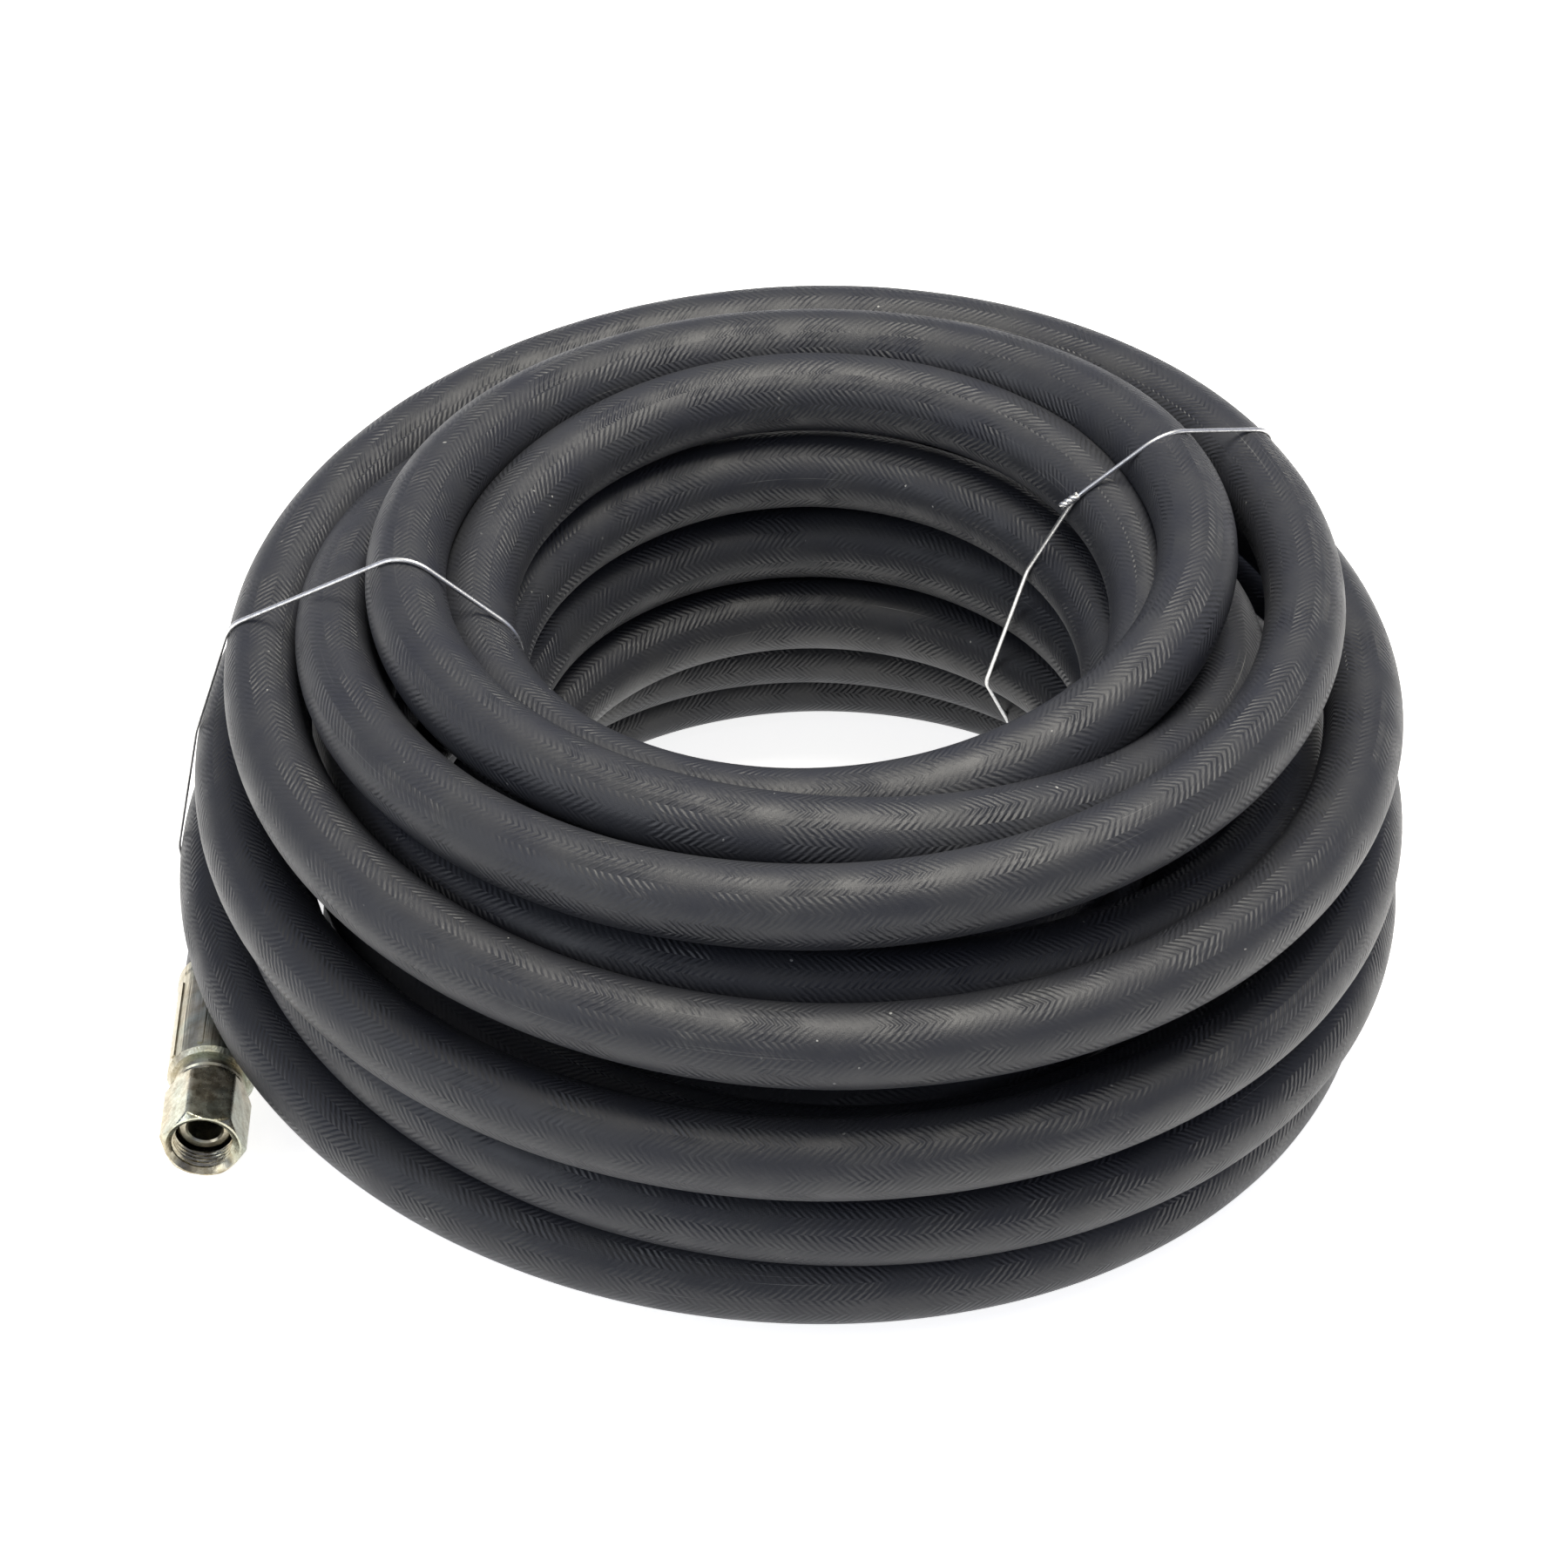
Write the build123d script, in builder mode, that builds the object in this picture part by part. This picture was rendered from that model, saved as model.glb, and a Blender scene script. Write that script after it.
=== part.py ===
"""A rubber hose with a crimped swivel-nut fitting at each end, wound in a loose coil.

Frame: millimetres, +Z up. The coil lies on the floor at z = 0, and the origin is on the
floor under the middle of the whole object. The first fitting lies at the left front of
the coil (-X, -Y) and opens towards -Y. The second lies behind the coil (+Y) and opens
towards +X.
"""

from build123d import *
from math import cos, degrees, hypot, pi, radians, sin, tan
import os

# ---------------------------------------------------------------- driving dimensions

# Hose: a 16 mm bore lining, a textile braid and a rubber cover
HOSE_D = 25.0
HOSE_R = HOSE_D / 2
LINING_R = 8.0
LINING_WALL = 1.8
BRAID_WALL = 0.9
CRIMPED_COVER_R = 12.2

# Swivel nut: M20 x 1.5 inside, 24 mm across flats
NUT_AF = 24.0
NUT_CORNER_R = NUT_AF / 2 / cos(pi / 6)
NUT_LENGTH = 26.0
NUT_TURN = 48.5
NUT_CHAMFER_ANGLE = 45.0
MOUTH_RIM_R = 12.1
NUT_BOSS_R = 11.4
NUT_BOSS_LENGTH = 1.6
THREAD_MINOR_R = 9.19
THREAD_START = 2.2
THREAD_END = 8.2
THREAD_RELIEF_R = 10.2
THREAD_RELIEF_END = 17.6
JOURNAL_BORE_R = 9.40
WIRE_STATION = 21.0
WIRE_GROOVE_R = 10.61
WIRE_GROOVE_HALF = 1.3

# Nipple: flat-faced nose, swivel journal, collar and the tail inside the hose
NIPPLE_BORE_R = 5.4
NOSE_STATION = 8.4
NOSE_FACE_R = 7.75
NOSE_R = 8.7
NOSE_EDGE = 0.95
JOURNAL_START = 18.2
JOURNAL_R = 9.33
COLLAR_START = 26.4
COLLAR_R = 11.2
FERRULE_START = 30.5
LOCK_R = 8.2
LOCK_END = 35.0
BARB_R = 8.0
BARB_ROOT_R = 7.3
BARB_PITCH = 6.5
BARB_COUNT = 5
NIPPLE_END = 73.0

# The thrust wire that holds the nut on the nipple
WIRE_R = 0.9
WIRE_RING_R = 9.36
WIRE_ARC = 335.0
SMALL_GAP = 0.05

# Ferrule with eight ridges left between the crimping dies
FERRULE_LENGTH = 46.0
FERRULE_R = 13.8
FERRULE_BELL_R = 14.1
FERRULE_BELL_BORE_R = 12.7
BELL_LENGTH = 5.0
FERRULE_NOSE_R = 12.6
HOSE_SEAT = 35.5
RIDGE_COUNT = 8
RIDGE_WIDTH = 1.7
RIDGE_RISE = 0.45
RIDGE_LENGTH = 35.0
FITTING_HEIGHT = FERRULE_R + RIDGE_RISE + 0.55

# The coil's middle, and where each fitting's mouth lies from it
COIL_X = 9.9
COIL_Y = -18.3
MOUTH_A = (-190.5, -108.0)
MOUTH_B = (166.0, 216.0)

# Tie wires. Each loop's plane holds a point at TIE_TOP above the floor, given from the
# coil's middle. It faces along the hose, with one side pointing away from the middle at an
# angle anticlockwise from +X, and leans from upright with its feet further round.
TIE_WIRE_R = 0.75
TIE_SLACK = 0.35
TIE_TOP = 150.0
TIE_LOOPS = {
    "left": ((-105.0, -18.5), 166.8, 0.0),
    "right": ((0.0, 0.0), 28.5, 20.5),
}

# Each twist: how much a turn's height counts in choosing the innermost turn that it lies
# on, its root's direction from that turn's centre, and where it heads, as angles in the
# loop's plane from the way out
TWIST_LENGTH = 6.0
TWIST_PITCH = 3.5
TWISTS = {"left": (0.5, 180.0, 240.0), "right": (-0.5, 143.0, 215.0)}

# Each row is one turn of the hose, clockwise seen from above. Its four places are left,
# back, right and front of the coil's middle. Each has the turn's radius there and its
# height in hose diameters above a turn that lies on the floor.
TURNS = [
    [(190, 0.0), (184, 1.0), (166, 0.0), (175.5, 0.36)],
    [(192.5, 1.22), (185, 2.0), (175, 1.0), (176, 1.35)],
    [(175, 2.1), (170, 2.95), (174, 2.4), (182, 2.6)],
    [(184, 3.05), (175, 3.9), (172, 3.9), (175, 4.1)],
    [(172, 4.6), (160.5, 5.2), (151.5, 5.5), (154, 5.5)],
    [(149, 5.1), (144.5, 3.95), (125, 2.4), (130, 1.45)],
    [(146, 1.1), (147, 1.2), (149, 1.2), (152, 1.7)],
    [(149, 2.2), (148, 2.1), (151, 3.1), (150, 4.2)],
    [(145, 4.0), (121, 3.95), (128, 4.6), (128, 5.7)],
    [(127, 5.8), (131, 5.6), (118, 6.0), (104.5, 5.35)],
    [(106, 5.2), (106, 5.6), (104, 5.2), (103, 4.4)],
    [(103, 4.2), (101, 4.5), (96, 4.1), (96, 3.4)],
    [(100, 3.2), (103, 3.3), (99, 3.0), (94, 2.4)],
    [(95, 2.2), (100, 2.2), (103, 1.9), (107, 1.6)],
    [(113, 1.3), (117, 1.1), (119, 0.9), (118, 0.6)],
    [(121, 0.3), (130, 0.2), (139, 0.0), (147, 0.0)],
    [(155, 0.0)],
]

# The hose between the coil and each fitting: x and y from the coil's middle, and height.
# Each list starts at the ferrule's open end and finishes inside the coil.
FITTING_END = FERRULE_START + FERRULE_LENGTH
ROUTE_A = [
    (MOUTH_A[0], MOUTH_A[1] + FITTING_END, FITTING_HEIGHT),
    (-190.5, 8, FITTING_HEIGHT),
    (-184, 54, 17),
    (-164, 98, 26),
    (-128, 138, 38),
]
ROUTE_B = [
    (MOUTH_B[0] - FITTING_END, MOUTH_B[1], FITTING_HEIGHT),
    (42, 216, FITTING_HEIGHT),
    (-8, 203, 12.7),
    (-54, 178, 12.6),
    (-96, 144, 12.6),
    (-131, 102, 12.6),
    (-151, 54, 12.6),
]

# The coil's solid heart, as radius and height, between the inner and the outer turns
HEART = [(120, 13), (104, 45), (98, 80), (98, 105), (105, 146), (152, 147), (170, 110), (176, 62), (165, 13)]


# ------------------------------------------------------------------------ the coil


def height_of(level):
    """Height of a turn's centre above the floor, from its level in hose diameters."""
    return HOSE_R + HOSE_D * level


def ring_of(turn):
    """The circle nearest to one turn: its radius, its centre and its two slopes."""
    (left, left_level), (back, back_level), (right, right_level), (front, front_level) = turn
    radius = (left + back + right + front) / 4
    slope_x = (height_of(right_level) - height_of(left_level)) / (left + right)
    slope_y = (height_of(back_level) - height_of(front_level)) / (back + front)
    level = (left_level + back_level + right_level + front_level) / 4
    rise = radius * hypot(slope_x, slope_y)
    centre = Vector((right - left) / 2, (back - front) / 2, max(height_of(level), HOSE_R + rise))
    return radius, centre, slope_x, slope_y


def turn_ring(turn, start=0.0, arc=360.0):
    """One turn of the coil as a ring of hose, or part of one, clockwise from start degrees."""
    radius, centre, slope_x, slope_y = ring_of(turn)
    up = Vector(-slope_x, -slope_y, 1).normalized()
    outward = Vector(cos(radians(start)), sin(radians(start)), 0)
    outward = (outward - up * outward.dot(up)).normalized()
    middle = centre + Vector(COIL_X, COIL_Y, 0)
    section = Plane(origin=middle, x_dir=outward, z_dir=outward.cross(up))
    with BuildPart() as ring:
        with BuildSketch(section):
            with Locations((radius, 0)):
                Circle(HOSE_R)
        revolve(axis=Axis(middle, -up), revolution_arc=arc)
    return ring.part


def coil_heart():
    """The inside of the wound hose, which the turns cover."""
    with BuildPart() as heart:
        with BuildSketch(Plane(origin=(COIL_X, COIL_Y, 0), x_dir=(1, 0, 0), z_dir=(0, -1, 0))):
            with BuildLine():
                Polyline(*HEART, close=True)
            make_face()
        revolve(axis=Axis((COIL_X, COIL_Y, 0), (0, 0, 1)))
    return heart.part


def hose_coil():
    """The wound hose as one closed solid of its outer shape, turn by turn."""
    # The outermost turn begins behind the coil, where the first tail ends
    first_turn = [TURNS[1][0]] + TURNS[0][1:]
    rings = [turn_ring(first_turn, start=128, arc=300)]
    for turn in TURNS[1:-1]:
        rings.append(turn_ring(turn))
    with BuildPart() as coil:
        add(coil_heart())
        add(rings)
    return coil.part


# ----------------------------------------------------------------- hose outside the coil


def route_radii(points):
    """The largest bend radius that the two runs beside each corner leave room for."""
    radii = []
    for before, corner, after in zip(points, points[1:], points[2:]):
        run_in = Vector(*corner) - Vector(*before)
        run_out = Vector(*after) - Vector(*corner)
        turn = run_in.get_angle(run_out)
        radii.append(0.45 * min(run_in.length, run_out.length) / tan(radians(turn) / 2))
    return radii


def hose_tail(points):
    """The hose from a ferrule's open end to where it goes in among the turns."""
    placed = [(x + COIL_X, y + COIL_Y, z) for x, y, z in points]
    radii = route_radii(placed)
    print("bend radii of the tail:", [round(radius) for radius in radii])
    with BuildPart() as tail:
        with BuildLine() as route:
            FilletPolyline(*placed, radius=radii)
        with BuildSketch(Plane(origin=route.line @ 0, z_dir=route.line % 0)):
            Circle(HOSE_R)
        sweep(path=route.wires()[0])
    length = route.wires()[0].length
    ratio = tail.part.volume / (pi * HOSE_R**2 * length)
    print(f"tail length {length:.1f}, volume over section times length {ratio:.4f}")
    return tail.part


# --------------------------------------------------------------------------- a fitting


class Fitting:
    """Where one fitting lies: the middle of its mouth, and the way that it opens."""

    def __init__(self, mouth, opens):
        self.mouth = Vector(mouth[0] + COIL_X, mouth[1] + COIL_Y, FITTING_HEIGHT)
        self.opens = Vector(*opens)
        self.side = Vector(0, 0, 1).cross(self.opens)
        self.axis = Axis(self.mouth, self.opens)
        # Sketch x is the distance from the axis; sketch y runs out of the mouth
        self.section = Plane(origin=self.mouth, x_dir=self.side, z_dir=self.side.cross(self.opens))

    def across(self, station):
        """The plane square to the axis, at a distance behind the mouth."""
        return Plane(origin=self.mouth - self.opens * station, x_dir=self.side, z_dir=self.opens)

    def turned(self, profile):
        """A round piece, from pairs of radius and distance behind the mouth."""
        with BuildPart() as piece:
            with BuildSketch(self.section):
                with BuildLine():
                    Polyline(*[(radius, -station) for radius, station in profile], close=True)
                make_face()
            revolve(axis=self.axis)
        return piece.part

    def sleeve(self, inner, outer, start, end):
        """A plain tube round the axis."""
        with BuildPart() as piece:
            with BuildSketch(self.across(end)):
                Circle(outer)
                Circle(inner, mode=Mode.SUBTRACT)
            extrude(amount=end - start)
        return piece.part


def swivel_nut(fitting):
    """The hexagon nut: thread in front, swivel bore and wire groove behind."""
    fall = tan(radians(NUT_CHAMFER_ANGLE))
    hex_end = NUT_LENGTH - NUT_BOSS_LENGTH
    outer_r = NUT_CORNER_R + 1
    outline = [
        (0, 0),
        (MOUTH_RIM_R, 0),
        (outer_r, (outer_r - MOUTH_RIM_R) * fall),
        (outer_r, hex_end - (outer_r - NUT_BOSS_R) * fall),
        (NUT_BOSS_R, hex_end),
        (NUT_BOSS_R, NUT_LENGTH),
        (0, NUT_LENGTH),
    ]
    bore = [
        (0, -1),
        (THREAD_MINOR_R + THREAD_START + 1, -1),
        (THREAD_MINOR_R, THREAD_START),
        (THREAD_MINOR_R, THREAD_END),
        (THREAD_RELIEF_R, THREAD_END),
        (THREAD_RELIEF_R, THREAD_RELIEF_END),
        (JOURNAL_BORE_R, THREAD_RELIEF_END),
        (JOURNAL_BORE_R, WIRE_STATION - WIRE_GROOVE_HALF),
        (WIRE_GROOVE_R, WIRE_STATION - WIRE_GROOVE_HALF),
        (WIRE_GROOVE_R, WIRE_STATION + WIRE_GROOVE_HALF),
        (JOURNAL_BORE_R, WIRE_STATION + WIRE_GROOVE_HALF),
        (JOURNAL_BORE_R, NUT_LENGTH + 1),
        (0, NUT_LENGTH + 1),
    ]
    with BuildPart() as nut:
        with BuildSketch(fitting.across(NUT_LENGTH)):
            RegularPolygon(NUT_CORNER_R, 6, rotation=NUT_TURN)
        extrude(amount=NUT_LENGTH)
        add(fitting.turned(outline), mode=Mode.INTERSECT)
        add(fitting.turned(bore), mode=Mode.SUBTRACT)
    return nut.part


def nut_wire(fitting):
    """The open ring of wire that sits in the nipple's groove and the nut's."""
    with BuildPart() as ring:
        with BuildSketch(fitting.section):
            with Locations((WIRE_RING_R, -WIRE_STATION)):
                Circle(WIRE_R)
        revolve(axis=fitting.axis, revolution_arc=WIRE_ARC)
    return ring.part


def nipple(fitting):
    """The bored stem: flat nose, swivel journal, collar, ferrule lock and barbed tail."""
    wire_floor = WIRE_RING_R - WIRE_R - SMALL_GAP
    outline = [
        (NIPPLE_BORE_R + 0.6, NOSE_STATION),
        (NOSE_FACE_R, NOSE_STATION),
        (NOSE_R, NOSE_STATION + NOSE_EDGE),
        (NOSE_R, JOURNAL_START - 0.6),
        (JOURNAL_R, JOURNAL_START),
        (JOURNAL_R, WIRE_STATION - WIRE_R - SMALL_GAP),
        (wire_floor, WIRE_STATION - WIRE_R - SMALL_GAP),
        (wire_floor, WIRE_STATION + WIRE_R + SMALL_GAP),
        (JOURNAL_R, WIRE_STATION + WIRE_R + SMALL_GAP),
        (JOURNAL_R, COLLAR_START),
        (COLLAR_R - 0.8, COLLAR_START),
        (COLLAR_R, COLLAR_START + 0.8),
        (COLLAR_R, FERRULE_START),
        (LOCK_R, FERRULE_START),
        (LOCK_R, LOCK_END),
        (BARB_R, LOCK_END),
    ]
    for barb in range(BARB_COUNT):
        start = LOCK_END + 4 + barb * BARB_PITCH
        outline += [(BARB_R, start), (BARB_ROOT_R, start), (BARB_R, start + BARB_PITCH - 0.5)]
    outline += [(BARB_ROOT_R, NIPPLE_END - 1), (BARB_ROOT_R - 0.8, NIPPLE_END)]
    outline += [(NIPPLE_BORE_R, NIPPLE_END), (NIPPLE_BORE_R, NOSE_STATION + 0.6)]
    return fitting.turned(outline)


def ferrule(fitting):
    """The crimped sleeve over the hose's end, with the ridges that the dies leave."""
    end = FERRULE_START + FERRULE_LENGTH
    bell_start = end - BELL_LENGTH
    outline = [
        (LOCK_R, FERRULE_START),
        (FERRULE_NOSE_R, FERRULE_START),
        (FERRULE_R, FERRULE_START + 1.6),
        (FERRULE_R, bell_start),
        (FERRULE_BELL_R, bell_start + 1.5),
        (FERRULE_BELL_R, end),
        (FERRULE_BELL_BORE_R, end),
        (FERRULE_BELL_BORE_R, bell_start),
        (CRIMPED_COVER_R, bell_start - 2),
        (CRIMPED_COVER_R, LOCK_END),
        (LOCK_R, LOCK_END),
    ]
    ridge_middle = (FERRULE_START + bell_start) / 2
    with BuildPart() as sleeve:
        add(fitting.turned(outline))
        with BuildSketch(fitting.across(ridge_middle + RIDGE_LENGTH / 2)):
            with PolarLocations(FERRULE_R - RIDGE_RISE / 2, RIDGE_COUNT, start_angle=11):
                Rectangle(3 * RIDGE_RISE, RIDGE_WIDTH)
        extrude(amount=RIDGE_LENGTH)
    return sleeve.part


def fitting_pieces(fitting):
    """Every piece of one end, by name."""
    braid_r = LINING_R + LINING_WALL
    cover_r = braid_r + BRAID_WALL
    end = FERRULE_START + FERRULE_LENGTH
    return {
        "inner_tube_end": fitting.sleeve(LINING_R, braid_r, HOSE_SEAT, end),
        "braid_end": fitting.sleeve(braid_r, cover_r, HOSE_SEAT, end),
        "cover_end": fitting.sleeve(cover_r, CRIMPED_COVER_R, HOSE_SEAT, end),
        "ferrule": ferrule(fitting),
        "nipple": nipple(fitting),
        "nut_wire": nut_wire(fitting),
        "swivel_nut": swivel_nut(fitting),
    }


# ------------------------------------------------------------------------ the tie wires


def between(before, first, second, after, part):
    """A smooth value part of the way from first to second, heading as its neighbours do."""
    rise_in = (second - before) / 2
    rise_out = (after - first) / 2
    a = 2 * first - 2 * second + rise_in + rise_out
    b = -3 * first + 3 * second - 2 * rise_in - rise_out
    return ((a * part + b) * part + rise_in) * part + first


def hose_centre(turn, angle):
    """The hose's centre on one turn, at an angle anticlockwise from +X."""
    stations = [station for row in TURNS for station in row]
    place = (180 - angle) / 90 + 4 * turn
    first = min(int(place), len(stations) - 2)
    near = [stations[min(first + step, len(stations) - 1)] for step in (-1, 0, 1, 2)]
    radius = between(*[station[0] for station in near], place - first)
    level = between(*[station[1] for station in near], place - first)
    return Vector(radius * cos(radians(angle)), radius * sin(radians(angle)), height_of(level))


def loop_plane(point, angle, lean):
    """The plane of a tie wire, from the coil's middle: x outward, y up along the lean."""
    outward = Vector(cos(radians(angle)), sin(radians(angle)), 0)
    round_the_coil = Vector(0, 0, 1).cross(outward)
    upward = Vector(0, 0, cos(radians(lean))) - round_the_coil * sin(radians(lean))
    return Plane(origin=(*point, TIE_TOP), x_dir=outward, z_dir=outward.cross(upward))


def section_circles(point, angle, lean):
    """Where the turns' centres cross a tie wire's plane, as x and y in that plane.

    A turn on the floor counts a little higher, so that the wire passes between them.
    """
    plane = loop_plane(point, angle, lean)
    circles = []
    coil_end = 4 * (len(TURNS) - 1)
    for turn in range(1, len(TURNS)):
        if (180 - angle) / 90 + 4 * turn > coil_end + 0.5:
            break
        crossing = angle
        for _ in range(6):
            centre = hose_centre(turn, crossing)
            along = Vector(-centre.Y, centre.X, 0)
            crossing -= degrees((centre - plane.origin).dot(plane.z_dir) / along.dot(plane.z_dir))
        lowest = HOSE_R + 2 * TIE_WIRE_R + TIE_SLACK
        centre = Vector(centre.X, centre.Y, max(centre.Z, lowest))
        local = plane.to_local_coords(centre)
        circles.append((local.X, local.Y))
    return circles


def cross(a, b, c):
    """Twice the area of the triangle a, b, c, positive when it turns anticlockwise."""
    return (b[0] - a[0]) * (c[1] - a[1]) - (b[1] - a[1]) * (c[0] - a[0])


def hull_of(circles):
    """The corners of the tight loop round the circles' centres, anticlockwise."""
    points = sorted(circles)
    hull = []
    for side in (points, points[::-1]):
        chain = []
        for point in side:
            while len(chain) > 1 and cross(chain[-2], chain[-1], point) <= 0:
                chain.pop()
            chain.append(point)
        hull += chain[:-1]
    return hull


def placed_plane(loop):
    """A tie wire's plane in the object's own frame."""
    return Plane(loop_plane(*loop).location.position + Vector(COIL_X, COIL_Y, 0),
                 x_dir=loop_plane(*loop).x_dir, z_dir=loop_plane(*loop).z_dir)


def tie_wire(loop):
    """A wire drawn tight round the bundle."""
    hull = hull_of(section_circles(*loop))
    with BuildSketch(placed_plane(loop)) as inside:
        with BuildLine():
            Polyline(*hull, close=True)
        make_face()
        offset(amount=HOSE_R + TIE_SLACK + TIE_WIRE_R, kind=Kind.ARC)
    outline = inside.sketch.faces()[0].outer_wire()
    with BuildPart() as wire:
        with BuildSketch(Plane(origin=outline @ 0, z_dir=outline % 0)):
            Circle(TIE_WIRE_R)
        sweep(path=outline)
    return wire.part


def tie_twist(loop, height_counts, root_angle, heading):
    """The wire's two ends, twisted together."""
    plane = placed_plane(loop)
    x, y = min(section_circles(*loop), key=lambda circle: circle[0] + height_counts * circle[1])
    reach = HOSE_R + TIE_SLACK + 2.2 * TIE_WIRE_R
    root = Vector(x + reach * cos(radians(root_angle)), y + reach * sin(radians(root_angle)), 0)
    start = plane.from_local_coords(root)
    tip = plane.from_local_coords(root + Vector(cos(radians(heading)), sin(radians(heading)), 0))
    base = Plane(origin=start, z_dir=tip - start)
    strand = Helix(TWIST_PITCH, TWIST_LENGTH, 0.8 * TIE_WIRE_R)
    with BuildPart() as twist:
        for half_turn in (0, 180):
            path = base.location * Rotation(0, 0, half_turn) * strand
            with BuildSketch(Plane(origin=path @ 0, z_dir=path % 0)):
                Circle(TIE_WIRE_R)
            sweep(path=path, is_frenet=True)
    return twist.part


# ------------------------------------------------------------------------ write the parts


def save(piece, name):
    piece.label = name
    export_step(piece, f"parts/{name}.step")
    box = piece.bounding_box()
    print(f"{name:22s} solids {len(piece.solids())}  x {box.min.X:7.1f} {box.max.X:7.1f}"
          f"  y {box.min.Y:7.1f} {box.max.Y:7.1f}  z {box.min.Z:6.2f} {box.max.Z:6.1f}")


os.makedirs("parts", exist_ok=True)
save(hose_coil(), "hose_coil")
save(hose_tail(ROUTE_A), "hose_tail_a")
save(hose_tail(ROUTE_B), "hose_tail_b")
for letter, mouth, opens in (("a", MOUTH_A, (0, -1, 0)), ("b", MOUTH_B, (1, 0, 0))):
    for name, piece in fitting_pieces(Fitting(mouth, opens)).items():
        save(piece, f"{name}_{letter}")
for side, loop in TIE_LOOPS.items():
    save(tie_wire(loop), f"tie_wire_{side}")
    save(tie_twist(loop, *TWISTS[side]), f"tie_twist_{side}")
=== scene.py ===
"""A coiled rubber hose with crimped swivel-nut fittings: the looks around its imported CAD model.

Everything is in metres, in the CAD model's frame, with +Z up and the floor at z = 0.
"""
from math import cos, pi, radians, sin, tau

import bmesh
import bpy
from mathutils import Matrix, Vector, noise


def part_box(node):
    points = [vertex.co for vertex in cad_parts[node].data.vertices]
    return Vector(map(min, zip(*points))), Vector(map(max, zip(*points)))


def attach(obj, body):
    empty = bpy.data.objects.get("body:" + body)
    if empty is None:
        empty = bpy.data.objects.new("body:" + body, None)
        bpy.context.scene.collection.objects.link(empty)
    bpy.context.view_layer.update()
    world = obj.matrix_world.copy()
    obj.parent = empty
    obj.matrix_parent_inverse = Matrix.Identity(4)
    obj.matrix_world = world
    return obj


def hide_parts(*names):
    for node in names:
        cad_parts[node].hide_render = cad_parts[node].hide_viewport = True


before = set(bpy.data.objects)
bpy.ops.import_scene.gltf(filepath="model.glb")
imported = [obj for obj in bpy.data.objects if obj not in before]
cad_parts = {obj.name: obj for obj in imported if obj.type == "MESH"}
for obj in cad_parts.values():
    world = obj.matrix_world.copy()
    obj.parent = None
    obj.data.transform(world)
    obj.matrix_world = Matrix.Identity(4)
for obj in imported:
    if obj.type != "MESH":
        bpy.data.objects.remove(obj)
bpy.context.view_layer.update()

# ------------------------------------------------------------------- sizes and places

HOSE_D = 0.025
HOSE_R = HOSE_D / 2
FITTING_LENGTH = 0.0765
FITTING_HEIGHT = 0.0148
MOUTH_A = (-0.1905, -0.108)
MOUTH_B = (0.166, 0.216)

NUT_LOW, NUT_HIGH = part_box("swivel_nut_a")
COIL_MIDDLE = Vector(((NUT_LOW[0] + NUT_HIGH[0]) / 2 - MOUTH_A[0], NUT_LOW[1] - MOUTH_A[1], 0))

# Each row is one turn of the hose, clockwise seen from above. Its four places are left,
# back, right and front of the coil's middle. Each has the turn's radius there and its
# height in hose diameters above a turn that lies on the floor.
TURNS = [
    [(0.190, 0.0), (0.184, 1.0), (0.166, 0.0), (0.1755, 0.36)],
    [(0.1925, 1.22), (0.185, 2.0), (0.175, 1.0), (0.176, 1.35)],
    [(0.175, 2.1), (0.170, 2.95), (0.174, 2.4), (0.182, 2.6)],
    [(0.184, 3.05), (0.175, 3.9), (0.172, 3.9), (0.175, 4.1)],
    [(0.172, 4.6), (0.1605, 5.2), (0.1515, 5.5), (0.154, 5.5)],
    [(0.149, 5.1), (0.1445, 3.95), (0.125, 2.4), (0.130, 1.45)],
    [(0.146, 1.1), (0.147, 1.2), (0.149, 1.2), (0.152, 1.7)],
    [(0.149, 2.2), (0.148, 2.1), (0.151, 3.1), (0.150, 4.2)],
    [(0.145, 4.0), (0.121, 3.95), (0.128, 4.6), (0.128, 5.7)],
    [(0.127, 5.8), (0.131, 5.6), (0.118, 6.0), (0.1045, 5.35)],
    [(0.106, 5.2), (0.106, 5.6), (0.104, 5.2), (0.103, 4.4)],
    [(0.103, 4.2), (0.101, 4.5), (0.096, 4.1), (0.096, 3.4)],
    [(0.100, 3.2), (0.103, 3.3), (0.099, 3.0), (0.094, 2.4)],
    [(0.095, 2.2), (0.100, 2.2), (0.103, 1.9), (0.107, 1.6)],
    [(0.113, 1.3), (0.117, 1.1), (0.119, 0.9), (0.118, 0.6)],
    [(0.121, 0.3), (0.130, 0.2), (0.139, 0.0), (0.147, 0.0)],
    [(0.155, 0.0)],
]
POINTS_PER_QUARTER = 4
POINTS_PER_TURN = 4 * POINTS_PER_QUARTER
# The coil's first and last points, counted from its left. Before and after them come the
# stretches to the ferrules.
FIRST_POINT = 3
LAST_POINT = POINTS_PER_TURN * (len(TURNS) - 1) - 1
FLOOR_GAP = 0.0001
ROUTE_RESOLUTION = 14

# The hose between each ferrule's open end and the coil, from the coil's middle
ROUTE_A = [
    (MOUTH_A[0], MOUTH_A[1] + FITTING_LENGTH, FITTING_HEIGHT),
    (-0.1905, 0.008, FITTING_HEIGHT),
    (-0.184, 0.054, 0.017),
    (-0.164, 0.098, 0.026),
    (-0.128, 0.138, 0.038),
]
ROUTE_B = [
    (MOUTH_B[0] - FITTING_LENGTH, MOUTH_B[1], FITTING_HEIGHT),
    (0.042, 0.216, FITTING_HEIGHT),
    (-0.008, 0.203, 0.0127),
    (-0.054, 0.178, 0.0126),
    (-0.096, 0.144, 0.0126),
    (-0.131, 0.102, 0.0126),
    (-0.151, 0.054, 0.0126),
]

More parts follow.
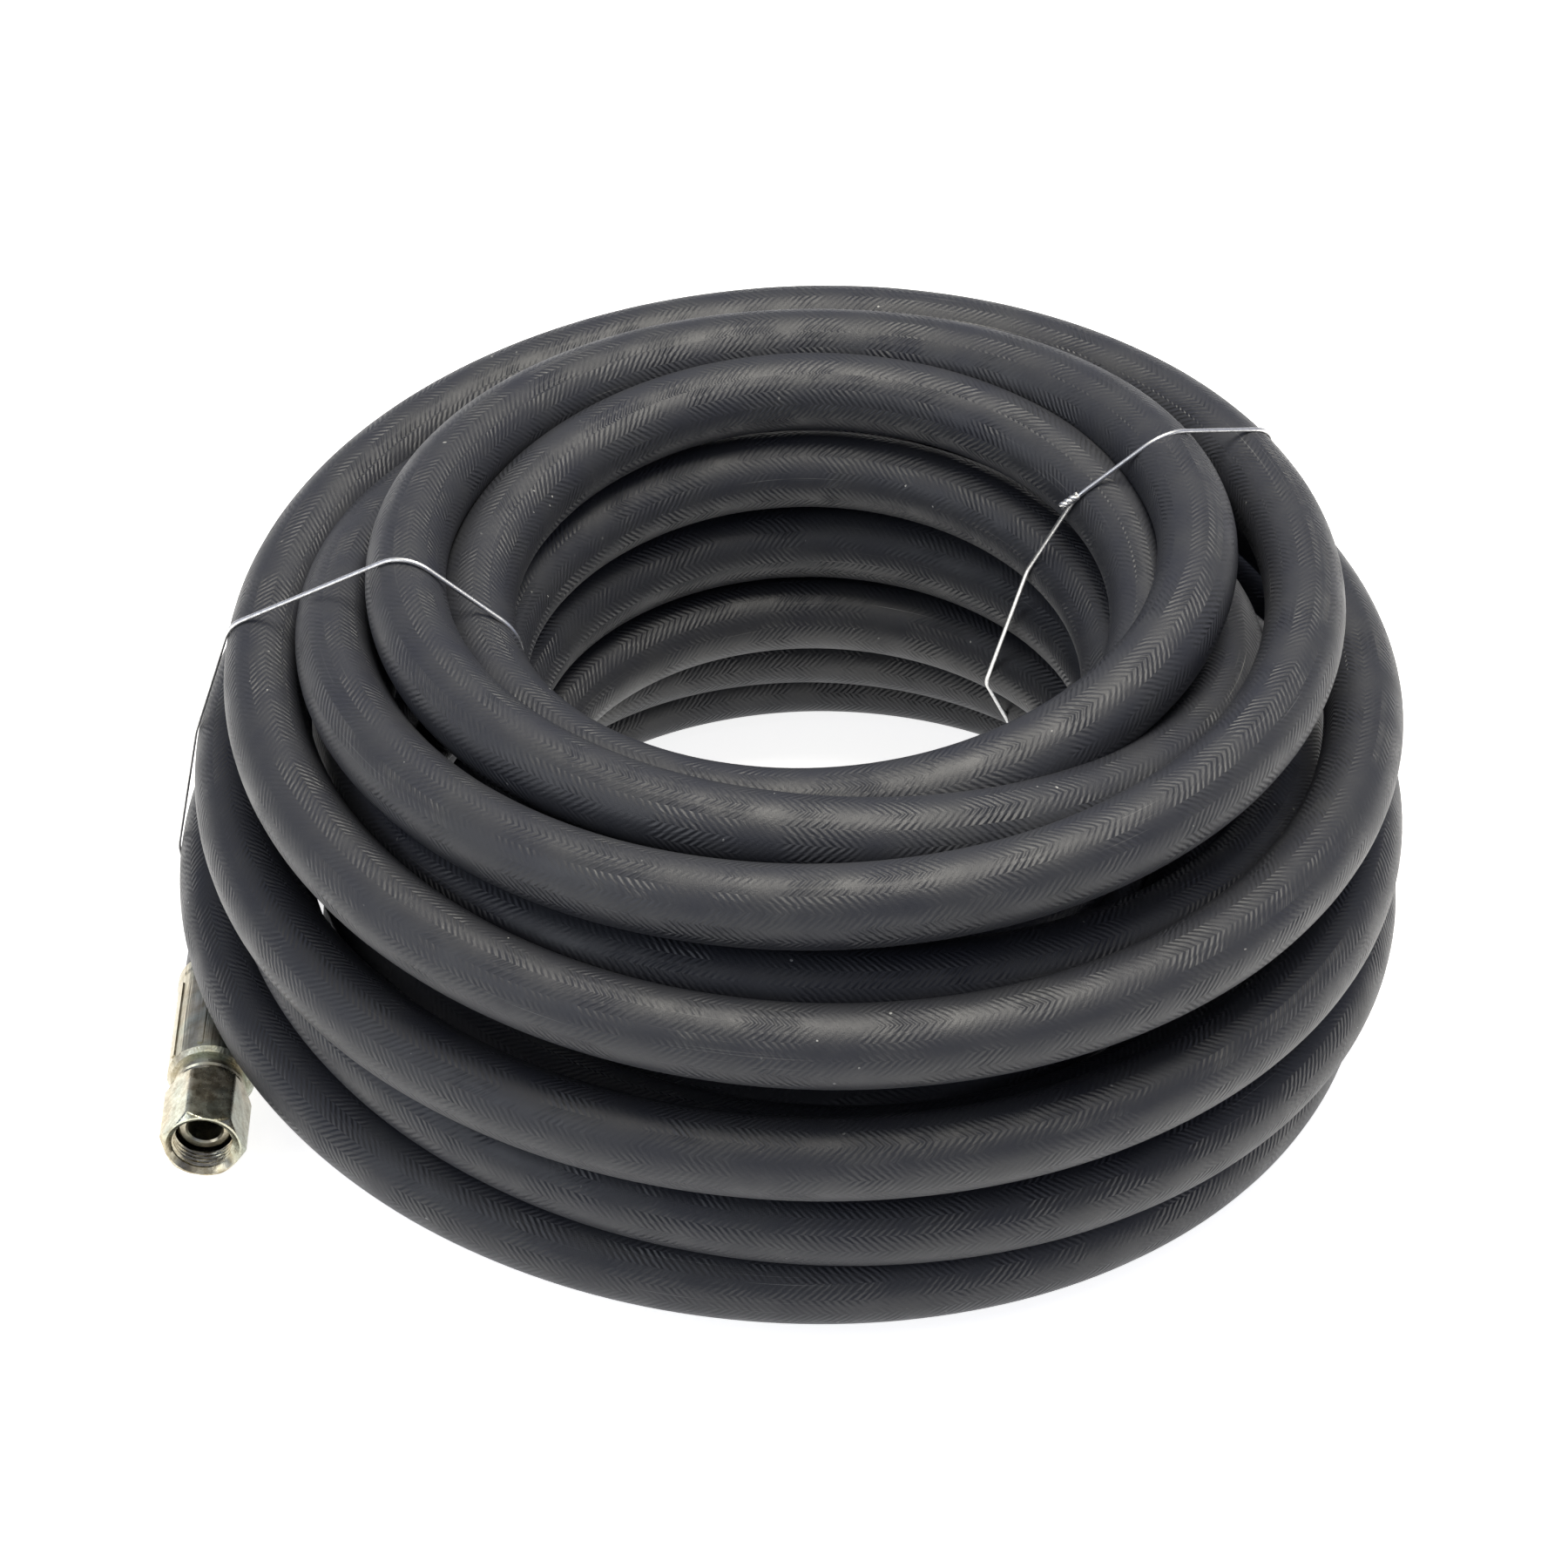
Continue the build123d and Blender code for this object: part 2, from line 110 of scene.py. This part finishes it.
# The camera, looking down at the coil from its front
CAMERA_ELEVATION = radians(38.5)
CAMERA_DISTANCE = 1.738
CAMERA_LENS = 124.0
CAMERA_SENSOR = 36.0
CAMERA_TARGET = COIL_MIDDLE + Vector((-0.0099, 0.0097, 0.0652))


def make_camera():
    data = bpy.data.cameras.new("camera")
    data.lens = CAMERA_LENS
    data.sensor_width = CAMERA_SENSOR
    camera = bpy.data.objects.new("camera", data)
    bpy.context.scene.collection.objects.link(camera)
    away = Vector((0, -cos(CAMERA_ELEVATION), sin(CAMERA_ELEVATION)))
    camera.location = CAMERA_TARGET + away * CAMERA_DISTANCE
    camera.rotation_euler = away.to_track_quat("Z", "Y").to_euler()
    bpy.context.scene.camera = camera


# ------------------------------------------------------------------- the hose's route


def between(before, first, second, after, part):
    """A smooth value part of the way from first to second, heading as its neighbours do."""
    rise_in = (second - before) / 2
    rise_out = (after - first) / 2
    a = 2 * first - 2 * second + rise_in + rise_out
    b = -3 * first + 3 * second - 2 * rise_in - rise_out
    return ((a * part + b) * part + rise_in) * part + first


def coil_points():
    """The turns of the coil, several points to each quarter turn."""
    places = [place for turn in TURNS for place in turn]
    # A quadratic spline runs inside its control points, so they stand out a little
    outset = 1 / cos(pi / POINTS_PER_TURN)
    points = []
    for number in range(FIRST_POINT, LAST_POINT + 1):
        first, step = divmod(number, POINTS_PER_QUARTER)
        near = [places[min(max(first + k, 0), len(places) - 1)] for k in (-1, 0, 1, 2)]
        part = step / POINTS_PER_QUARTER
        radius = between(*[place[0] for place in near], part) * outset
        level = between(*[place[1] for place in near], part)
        angle = pi - tau * number / POINTS_PER_TURN
        height = max(HOSE_R + HOSE_D * level, HOSE_R + FLOOR_GAP)
        points.append(Vector((radius * cos(angle), radius * sin(angle), height)))
    return points


def route_curve():
    """The whole hose as one smooth open curve, from the first ferrule to the second."""
    points = [Vector(point) for point in ROUTE_A] + coil_points()
    points += [Vector(point) for point in reversed(ROUTE_B)]
    data = bpy.data.curves.new("hose_route", "CURVE")
    data.dimensions = "3D"
    data.resolution_u = ROUTE_RESOLUTION
    spline = data.splines.new("NURBS")
    spline.points.add(len(points) - 1)
    for target, point in zip(spline.points, points):
        target.co = (*(point + COIL_MIDDLE), 1)
    spline.order_u = 3
    spline.use_endpoint_u = True
    curve = bpy.data.objects.new("hose_route", data)
    bpy.context.scene.collection.objects.link(curve)
    return curve


def curve_line(curve):
    """The points along a curve's own line."""
    depsgraph = bpy.context.evaluated_depsgraph_get()
    mesh = bpy.data.meshes.new_from_object(curve.evaluated_get(depsgraph))
    line = [vertex.co.copy() for vertex in mesh.vertices]
    bpy.data.meshes.remove(mesh)
    return line


def even_line(line, step):
    """Points at even distances along a line, with how far along it each one is."""
    lengths = [0.0]
    for first, second in zip(line, line[1:]):
        lengths.append(lengths[-1] + (second - first).length)
    count = round(lengths[-1] / step)
    points = []
    segment = 0
    for number in range(count + 1):
        distance = lengths[-1] * number / count
        while segment < len(line) - 2 and lengths[segment + 1] < distance:
            segment += 1
        part = (distance - lengths[segment]) / (lengths[segment + 1] - lengths[segment])
        points.append((distance, line[segment].lerp(line[segment + 1], part)))
    return points


# --------------------------------------------------------------------------- the hose

HOSE_STEP = 0.005
HOSE_SIDES = 40
# How far the cover strays from a true round, as parts of its radius
COVER_LUMPS = 0.010
COVER_OVALNESS = 0.012


def add_piece(mesh, name, material):
    """Turns a finished bmesh into an object in the scene."""
    data = bpy.data.meshes.new(name)
    mesh.to_mesh(data)
    mesh.free()
    data.materials.append(material)
    piece = bpy.data.objects.new(name, data)
    bpy.context.scene.collection.objects.link(piece)
    return piece


def hose_radius(distance, angle):
    """The cover's radius: a little oval and uneven, as a wrapped hose is."""
    slow = noise.noise(Vector((distance * 9, cos(angle) * 0.6, sin(angle) * 0.6)))
    oval = noise.noise(Vector((distance * 3, 7.0, 0.0)))
    oval *= cos(2 * angle + distance * 2)
    return HOSE_R * (1 + COVER_LUMPS * slow + COVER_OVALNESS * oval)


def tube_mesh(line, radius, sides):
    """A closed tube along a line, with metres along and around it as its UV map."""
    mesh = bmesh.new()
    uv = mesh.loops.layers.uv.new("cover")
    rings = []
    across = Vector((0, 0, 1))
    for number, (distance, centre) in enumerate(line):
        before = line[max(number - 1, 0)][1]
        after = line[min(number + 1, len(line) - 1)][1]
        forward = (after - before).normalized()
        across = (across - forward * across.dot(forward)).normalized()
        side = forward.cross(across)
        ring = []
        for k in range(sides):
            angle = tau * k / sides
            outward = across * cos(angle) + side * sin(angle)
            ring.append(mesh.verts.new(centre + outward * radius(distance, angle)))
        rings.append(ring)
    arc = tau * HOSE_R / sides
    for number, (first, second) in enumerate(zip(rings, rings[1:])):
        near, far = line[number][0], line[number + 1][0]
        for k in range(sides):
            j = (k + 1) % sides
            face = mesh.faces.new((first[k], first[j], second[j], second[k]))
            face.smooth = True
            places = ((k, near), (k + 1, near), (k + 1, far), (k, far))
            for loop, (around, along) in zip(face.loops, places):
                loop[uv].uv = (around * arc, along)
    mesh.faces.new(rings[0][::-1])
    mesh.faces.new(rings[-1])
    bmesh.ops.recalc_face_normals(mesh, faces=mesh.faces)
    return mesh


def make_hose(material):
    curve = route_curve()
    line = even_line(curve_line(curve), HOSE_STEP)
    bpy.data.objects.remove(curve)
    hose = add_piece(tube_mesh(line, hose_radius, HOSE_SIDES), "hose_looks", material)
    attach(hose, "hose")
    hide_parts("hose_coil", "hose_tail_a", "hose_tail_b")


# -------------------------------------------------------------------- the swivel nuts

NUT_APOTHEM = 0.012
NUT_CORNER_ANGLE = radians(48.5)
NUT_LENGTH = 0.026
NUT_HEX_END = 0.0244
NUT_BOSS_R = 0.0114
NUT_RIM_R = 0.01205
NUT_CORNER_R = 0.01372
# How fast the turned-down ends of the hexagon widen, and where that is sampled
NUT_CHAMFER = 1.0
FRONT_STATIONS = (0.0001, 0.0004, 0.0008, 0.0012, 0.0016, 0.002, 0.003, 0.006, 0.012, 0.018)
BACK_GAPS = (0.003, 0.0024, 0.002, 0.0016, 0.0012, 0.0008, 0.0004, 0.0)
# The higher this is, the less the hexagon's turned corners are worn
CORNER_SHARPNESS = 110
EDGE_BREAK = 0.0003
NUT_BORE_R = 0.0094
NUT_BORE_START = 0.0176
WIRE_GROOVE_R = 0.01061
WIRE_GROOVE_START = 0.0197
WIRE_GROOVE_END = 0.0223
RELIEF_R = 0.0102
MOUTH_R = 0.0115
THREAD_PITCH = 0.0015
THREAD_MINOR_R = 0.00919
THREAD_DEPTH = 0.00085
THREAD_START = 0.0020
THREAD_END = 0.0082
THREAD_STEPS = 32
NUT_SIDES = 144
NUT_SMOOTH_BELOW = radians(24)


def turned_hexagon(angle, limit):
    """A hexagon's radius at an angle, turned down to a limit and a little worn at its corners."""
    flat = NUT_APOTHEM / cos((angle - NUT_CORNER_ANGLE) % (pi / 3) - pi / 6)
    limit = min(limit, NUT_CORNER_R)
    return (flat ** -CORNER_SHARPNESS + limit ** -CORNER_SHARPNESS) ** (-1 / CORNER_SHARPNESS)


def thread_radius(station, angle):
    """The inside radius of a right-handed thread, with rounded crests and roots."""
    turn = (station + THREAD_PITCH * angle / tau) / THREAD_PITCH % 1
    tooth = min(max(abs(2 * turn - 1) * 1.5 - 0.25, 0), 1)
    return THREAD_MINOR_R + THREAD_DEPTH * tooth


def nut_profile():
    """The nut's closed outline as pairs of distance behind the mouth and radius function."""
    def round_at(radius):
        return lambda angle: radius

    def hexagon_at(limit):
        return lambda angle: turned_hexagon(angle, limit)

    def thread_at(station):
        return lambda angle: thread_radius(station, angle)

    outline = [(0.0, round_at(NUT_RIM_R - 0.00035))]
    for station in FRONT_STATIONS:
        outline.append((station, hexagon_at(NUT_RIM_R + NUT_CHAMFER * station)))
    for gap in BACK_GAPS:
        outline.append((NUT_HEX_END - gap, hexagon_at(NUT_BOSS_R + NUT_CHAMFER * gap)))
    # The boss behind the hexagon, the bore with its wire groove, and the thread's relief
    for station, radius in ((NUT_HEX_END + 0.0001, NUT_BOSS_R),
                            (NUT_LENGTH - EDGE_BREAK, NUT_BOSS_R),
                            (NUT_LENGTH, NUT_BOSS_R - EDGE_BREAK),
                            (NUT_LENGTH, NUT_BORE_R + EDGE_BREAK),
                            (NUT_LENGTH - EDGE_BREAK, NUT_BORE_R),
                            (WIRE_GROOVE_END, NUT_BORE_R),
                            (WIRE_GROOVE_END, WIRE_GROOVE_R),
                            (WIRE_GROOVE_START, WIRE_GROOVE_R),
                            (WIRE_GROOVE_START, NUT_BORE_R),
                            (NUT_BORE_START, NUT_BORE_R),
                            (NUT_BORE_START, RELIEF_R),
                            (THREAD_END + EDGE_BREAK, RELIEF_R)):
        outline.append((station, round_at(radius)))
    for step in range(THREAD_STEPS + 1):
        station = THREAD_END - (THREAD_END - THREAD_START) * step / THREAD_STEPS
        outline.append((station, thread_at(station)))
    # The lead-in at the mouth
    outline.append((0.0015, round_at(0.0101)))
    outline.append((EDGE_BREAK, round_at(MOUTH_R - EDGE_BREAK)))
    outline.append((0.0, round_at(MOUTH_R)))
    return outline


def make_nut(letter, mouth, opens, material):
    """A swivel nut with its real thread, in place of the plain one."""
    opens = Vector(opens)
    side = Vector((0, 0, 1)).cross(opens)
    place = Vector((mouth[0], mouth[1], FITTING_HEIGHT)) + COIL_MIDDLE
    mesh = bmesh.new()
    rings = []
    for station, radius_at in nut_profile():
        ring = []
        for k in range(NUT_SIDES):
            angle = NUT_CORNER_ANGLE + tau * k / NUT_SIDES
            radius = radius_at(angle)
            across = side * cos(angle) + Vector((0, 0, 1)) * sin(angle)
            ring.append(mesh.verts.new(place - opens * station + across * radius))
        rings.append(ring)
    for first, second in zip(rings, rings[1:] + rings[:1]):
        for k in range(NUT_SIDES):
            j = (k + 1) % NUT_SIDES
            mesh.faces.new((first[k], first[j], second[j], second[k])).smooth = True
    bmesh.ops.recalc_face_normals(mesh, faces=mesh.faces)
    for edge in mesh.edges:
        edge.smooth = edge.calc_face_angle() < NUT_SMOOTH_BELOW
    nut = add_piece(mesh, f"nut_{letter}_looks", material)
    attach(nut, f"nut_{letter}")
    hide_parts(f"swivel_nut_{letter}")


# -------------------------------------------------------------------------- materials

# The woven imprint: slanted marks one pitch apart, whose slant turns at each band's edge
COVER_BAND = 0.0052
COVER_PITCH = 0.0024
COVER_DRIFT = 0.0024
COVER_SEAM = 0.0008
COVER_BUMP = 0.00017

UNEVEN_RUBBER = ((0.025, 0.0265, 0.035, 1), (0.041, 0.0425, 0.047, 1))
IMPRINT_TONE = (0.014, 0.015, 0.018, 1)
SCUFF_TONE = (0.30, 0.30, 0.29, 1)
DUST_TONE = (0.42, 0.42, 0.40, 1)
BRAID_TONES = ((0.42, 0.38, 0.29, 1), (0.66, 0.62, 0.52, 1))
ZINC_TONES = ((0.42, 0.37, 0.26, 1), (0.58, 0.55, 0.45, 1))
ZINC_GREEN = (0.46, 0.54, 0.47, 1)
ZINC_STAIN = (0.17, 0.135, 0.075, 1)
ZINC_LINES = (0.22, 0.19, 0.13, 1)
DRAWN_ALONG = 30
DRAWN_ACROSS = 1100


class Shades:
    """A node material in the making: its shader, and short ways to add nodes to it."""

    def __init__(self, name, **constants):
        self.material = bpy.data.materials.new(name)
        self.material.use_nodes = True
        self.tree = self.material.node_tree
        self.shader = self.tree.nodes["Principled BSDF"]
        for socket, value in constants.items():
            self.shader.inputs[socket.replace("_", " ")].default_value = value

    def node(self, kind, inputs=(), **settings):
        """A node with the given settings. Its inputs are values, or outputs of other nodes."""
        made = self.tree.nodes.new("ShaderNode" + kind)
        for key, value in settings.items():
            setattr(made, key, value)
        for key, value in dict(inputs).items():
            if isinstance(value, bpy.types.NodeSocket):
                self.tree.links.new(value, made.inputs[key])
            else:
                made.inputs[key].default_value = value
        return made

    def math(self, operation, first, second=0.0):
        return self.node("Math", {0: first, 1: second}, operation=operation).outputs[0]

    def coordinates(self, scale=(1, 1, 1), uv=None, turn=(0, 0, 0)):
        """Places in metres: in the object's own frame, or on the named UV map."""
        if uv:
            source = self.node("UVMap", uv_map=uv).outputs[0]
        else:
            source = self.node("TexCoord").outputs["Object"]
        inputs = {"Vector": source, "Scale": scale, "Rotation": turn}
        return self.node("Mapping", inputs).outputs[0]

    def noise(self, vector, scale, detail=3.0, roughness=0.55):
        inputs = {"Vector": vector, "Scale": scale, "Detail": detail, "Roughness": roughness}
        return self.node("TexNoise", inputs).outputs["Fac"]

    def ramp(self, value, low, high, start=0.0, end=1.0):
        """A value stretched so that low gives start and high gives end, and held there."""
        inputs = {"Value": value, "From Min": low, "From Max": high, "To Min": start, "To Max": end}
        return self.node("MapRange", inputs, clamp=True).outputs[0]

    def mix(self, amount, first, second):
        """A blend of two colours, with amount as the second one's share."""
        return self.node("Mix", {0: amount, 6: first, 7: second}, data_type="RGBA").outputs[2]

    def feed(self, socket, value):
        self.tree.links.new(value, self.shader.inputs[socket])

    def bump(self, height, distance):
        self.feed("Normal", self.node("Bump", {"Height": height, "Distance": distance}).outputs[0])


def cover_shades():
    """Black rubber with the woven imprint of its wrapping, dust specks and light scuffs."""
    shades = Shades("cover", Specular_IOR_Level=0.42)
    uv = shades.coordinates(uv="cover")
    parts = shades.node("SeparateXYZ", {0: uv})
    around, along = parts.outputs[0], parts.outputs[1]
    # The imprint, clear in some places and worn away in others
    zigzag = shades.math("PINGPONG", around, COVER_BAND)
    drift = shades.math("MULTIPLY", shades.noise(uv, 110, 2), COVER_DRIFT)
    place = shades.math("ADD", shades.math("ADD", along, zigzag), drift)
    wave = shades.math("SINE", shades.math("MULTIPLY", place, tau / COVER_PITCH))
    band = shades.math("PINGPONG", shades.math("ADD", around, COVER_BAND / 2), COVER_BAND / 2)
    edge = shades.ramp(band, 0.0, COVER_SEAM, 0.35, 1.0)
    clear = shades.ramp(shades.noise(uv, 55, 3), 0.42, 0.66, 0.10, 1.0)
    imprint = shades.math("MULTIPLY", shades.math("MULTIPLY", wave, edge), clear)
    # Scuffs along the hose, and specks of dust
    stretched = shades.coordinates((2200, 14, 1), uv="cover")
    streak = shades.ramp(shades.noise(stretched, 1, 2), 0.66, 0.76)
    scuffed = shades.ramp(shades.noise(uv, 9, 1), 0.50, 0.64)
    scuff = shades.math("MULTIPLY", streak, scuffed)
    specks = shades.node("TexVoronoi", {"Vector": uv, "Scale": 150.0}, feature="F1")
    size = shades.ramp(shades.noise(uv, 700, 0), 0.5, 0.75, 0.0, 0.11)
    speck = shades.math("LESS_THAN", specks.outputs["Distance"], size)
    dusty = shades.ramp(shades.noise(uv, 16, 2), 0.48, 0.62)
    speck = shades.math("MULTIPLY", speck, dusty)
    tone = shades.mix(shades.ramp(shades.noise(uv, 45, 4), 0.3, 0.7), *UNEVEN_RUBBER)
    tone = shades.mix(shades.ramp(imprint, -1.0, 1.0, 0.45, 0.0), tone, IMPRINT_TONE)
    tone = shades.mix(shades.math("MULTIPLY", scuff, 0.55), tone, SCUFF_TONE)
    tone = shades.mix(shades.math("MULTIPLY", speck, 0.8), tone, DUST_TONE)
    shades.feed("Base Color", tone)
    shades.feed("Roughness", shades.ramp(shades.noise(uv, 60, 3), 0.3, 0.7, 0.40, 0.54))
    grain = shades.noise(uv, 2600, 2)
    lumps = shades.noise(uv, 160, 3)
    height = shades.math("ADD", imprint, shades.math("MULTIPLY", grain, 0.5))
    height = shades.math("ADD", height, shades.math("MULTIPLY", lumps, 1.2))
    shades.bump(height, COVER_BUMP)
    return shades.material


def plain_rubber_shades(name, light, dark):
    """Matt rubber without an imprint, for the cut ends and the bore."""
    shades = Shades(name, Specular_IOR_Level=0.4)
    place = shades.coordinates()
    shades.feed("Base Color", shades.mix(shades.noise(place, 220), dark, light))
    shades.feed("Roughness", shades.ramp(shades.noise(place, 300), 0.3, 0.7, 0.55, 0.75))
    shades.bump(shades.noise(place, 1500), 0.00008)
    return shades.material


def braid_shades():
    """Off-white textile braid."""
    shades = Shades("braid", Specular_IOR_Level=0.2)
    place = shades.coordinates(turn=(0, 0, pi / 4))
    weave = shades.node("TexChecker", {"Vector": place, "Scale": 900.0}).outputs["Fac"]
    fibre = shades.noise(place, 2500, 2)
    shades.feed("Base Color", shades.mix(shades.math("MULTIPLY", weave, fibre), *BRAID_TONES))
    shades.feed("Roughness", shades.ramp(fibre, 0.3, 0.7, 0.75, 0.95))
    shades.bump(weave, 0.0002)
    return shades.material


def zinc_shades(name, along, rough, dirt, line_depth):
    """Passivated zinc plate on steel: mottled, stained, and drawn along one axis or none."""
    shades = Shades(name, Metallic=1.0)
    place = shades.coordinates()
    drawn = shades.coordinates(
        tuple(DRAWN_ALONG if axis == along else DRAWN_ACROSS for axis in range(3)))
    patches = shades.ramp(shades.noise(place, 190, 4, 0.6), 0.36, 0.64)
    stain = shades.ramp(shades.noise(place, 260, 5, 0.72), 0.42, 0.68, 0.0, dirt)
    lines = shades.noise(drawn, 1, 3)
    tone = shades.mix(patches, *ZINC_TONES)
    green = shades.ramp(shades.noise(place, 70, 2), 0.42, 0.6, 0.0, 0.55)
    tone = shades.mix(green, tone, ZINC_GREEN)
    tone = shades.mix(stain, tone, ZINC_STAIN)
    tone = shades.mix(shades.ramp(lines, 0.35, 0.5, 0.35, 0.0), tone, ZINC_LINES)
    shades.feed("Base Color", tone)
    shades.feed("Roughness", shades.ramp(patches, 0.0, 1.0, rough, rough + 0.10))
    shades.bump(lines, line_depth)
    return shades.material


def wire_shades(name, pale, dark, rough):
    """Drawn wire: dull, faintly spangled metal."""
    shades = Shades(name, Metallic=1.0)
    place = shades.coordinates()
    spangle = shades.ramp(shades.noise(place, 900, 4), 0.35, 0.65)
    shades.feed("Base Color", shades.mix(spangle, dark, pale))
    shades.feed("Roughness", shades.ramp(spangle, 0.0, 1.0, rough + 0.12, rough))
    shades.bump(shades.noise(place, 3000, 2), 0.00004)
    return shades.material


def dress(names, material):
    """Gives CAD nodes a material in place of their own."""
    for name in names:
        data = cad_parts[name].data
        data.materials.clear()
        data.materials.append(material)


# ------------------------------------------------------------------- light and floor

# The sky's colours, from the horizon and below, at 0, to straight up, at 1
SKY_HORIZON = (0.03, 0.033, 0.04, 1)
SKY_LEVELS = ((0.12, (0.15, 0.17, 0.25, 1)), (0.55, (0.33, 0.36, 0.48, 1)))
SKY_UP = (0.80, 0.75, 0.62, 1)
FLOOR_SIZE = 40
FLOOR_GLOW = 0.85
FLOOR_TONES = ((0.90, 0.90, 0.90, 1), (0.93, 0.93, 0.93, 1))


def make_area_light(name, place, size, power, colour):
    data = bpy.data.lights.new(name, "AREA")
    data.shape = "RECTANGLE"
    data.size, data.size_y = size
    data.energy = power
    data.color = colour
    lamp = bpy.data.objects.new(name, data)
    bpy.context.scene.collection.objects.link(lamp)
    lamp.location = place
    lamp.rotation_euler = Vector(place).to_track_quat("Z", "Y").to_euler()


def make_sky():
    """Studio light from all round: warm and bright above, cool lower down, dark at the horizon."""
    world = bpy.data.worlds.new("studio")
    bpy.context.scene.world = world
    world.use_nodes = True
    tree = world.node_tree
    direction = tree.nodes.new("ShaderNodeTexCoord").outputs["Generated"]
    split = tree.nodes.new("ShaderNodeSeparateXYZ")
    tree.links.new(direction, split.inputs[0])
    ramp = tree.nodes.new("ShaderNodeValToRGB")
    ramp.color_ramp.elements[0].color = SKY_HORIZON
    ramp.color_ramp.elements[1].color = SKY_UP
    for position, colour in SKY_LEVELS:
        ramp.color_ramp.elements.new(position).color = colour
    tree.links.new(split.outputs[2], ramp.inputs[0])
    tree.links.new(ramp.outputs[0], tree.nodes["Background"].inputs["Color"])


def make_stage():
    bpy.ops.mesh.primitive_plane_add(size=FLOOR_SIZE)
    floor = bpy.context.object
    floor.name = "floor"
    paper = Shades("floor", Roughness=0.85, Specular_IOR_Level=0.1)
    paper.shader.inputs["Emission Color"].default_value = (1, 1, 1, 1)
    paper.shader.inputs["Emission Strength"].default_value = FLOOR_GLOW
    paper.feed("Base Color", paper.mix(paper.noise(paper.coordinates(), 90), *FLOOR_TONES))
    floor.data.materials.append(paper.material)
    # The floor is only a white ground: the hose's undersides stay dark
    floor.visible_diffuse = False
    make_sky()
    make_area_light("top", (0.25, 0.05, 1.9), (1.1, 0.8), 43, (1.0, 0.96, 0.87))
    make_area_light("left", (-1.4, -0.9, 0.9), (0.8, 0.8), 7, (0.92, 0.96, 1.0))
    bpy.context.scene.view_settings.view_transform = "Standard"


# ------------------------------------------------------------------------ the picture

make_camera()
make_hose(cover_shades())
nut_metal = zinc_shades("nut", None, 0.22, 0.75, 0.00003)
make_nut("a", MOUTH_A, (0, -1, 0), nut_metal)
make_nut("b", MOUTH_B, (1, 0, 0), nut_metal)
lining = plain_rubber_shades("lining", (0.030, 0.030, 0.032, 1), (0.018, 0.018, 0.018, 1))
end_rubber = plain_rubber_shades("cover_end", (0.050, 0.050, 0.052, 1), (0.030, 0.030, 0.032, 1))
dress(("inner_tube_end_a", "inner_tube_end_b"), lining)
dress(("cover_end_a", "cover_end_b", "hose_coil", "hose_tail_a", "hose_tail_b"), end_rubber)
dress(("braid_end_a", "braid_end_b"), braid_shades())
dress(("ferrule_a",), zinc_shades("ferrule_a", 1, 0.30, 0.4, 0.00025))
dress(("ferrule_b",), zinc_shades("ferrule_b", 0, 0.30, 0.4, 0.00025))
dress(("nipple_a", "nipple_b"), zinc_shades("nipple", None, 0.26, 0.25, 0.00003))
dress(("swivel_nut_a", "swivel_nut_b"), nut_metal)
spring_metal = wire_shades("spring_wire", (0.50, 0.50, 0.51, 1), (0.30, 0.30, 0.31, 1), 0.3)
dress(("nut_wire_a", "nut_wire_b"), spring_metal)
tie_metal = wire_shades("tie_wire", (0.86, 0.86, 0.85, 1), (0.62, 0.62, 0.62, 1), 0.34)
dress(("tie_wire_left", "tie_wire_right", "tie_twist_left", "tie_twist_right"), tie_metal)
make_stage()
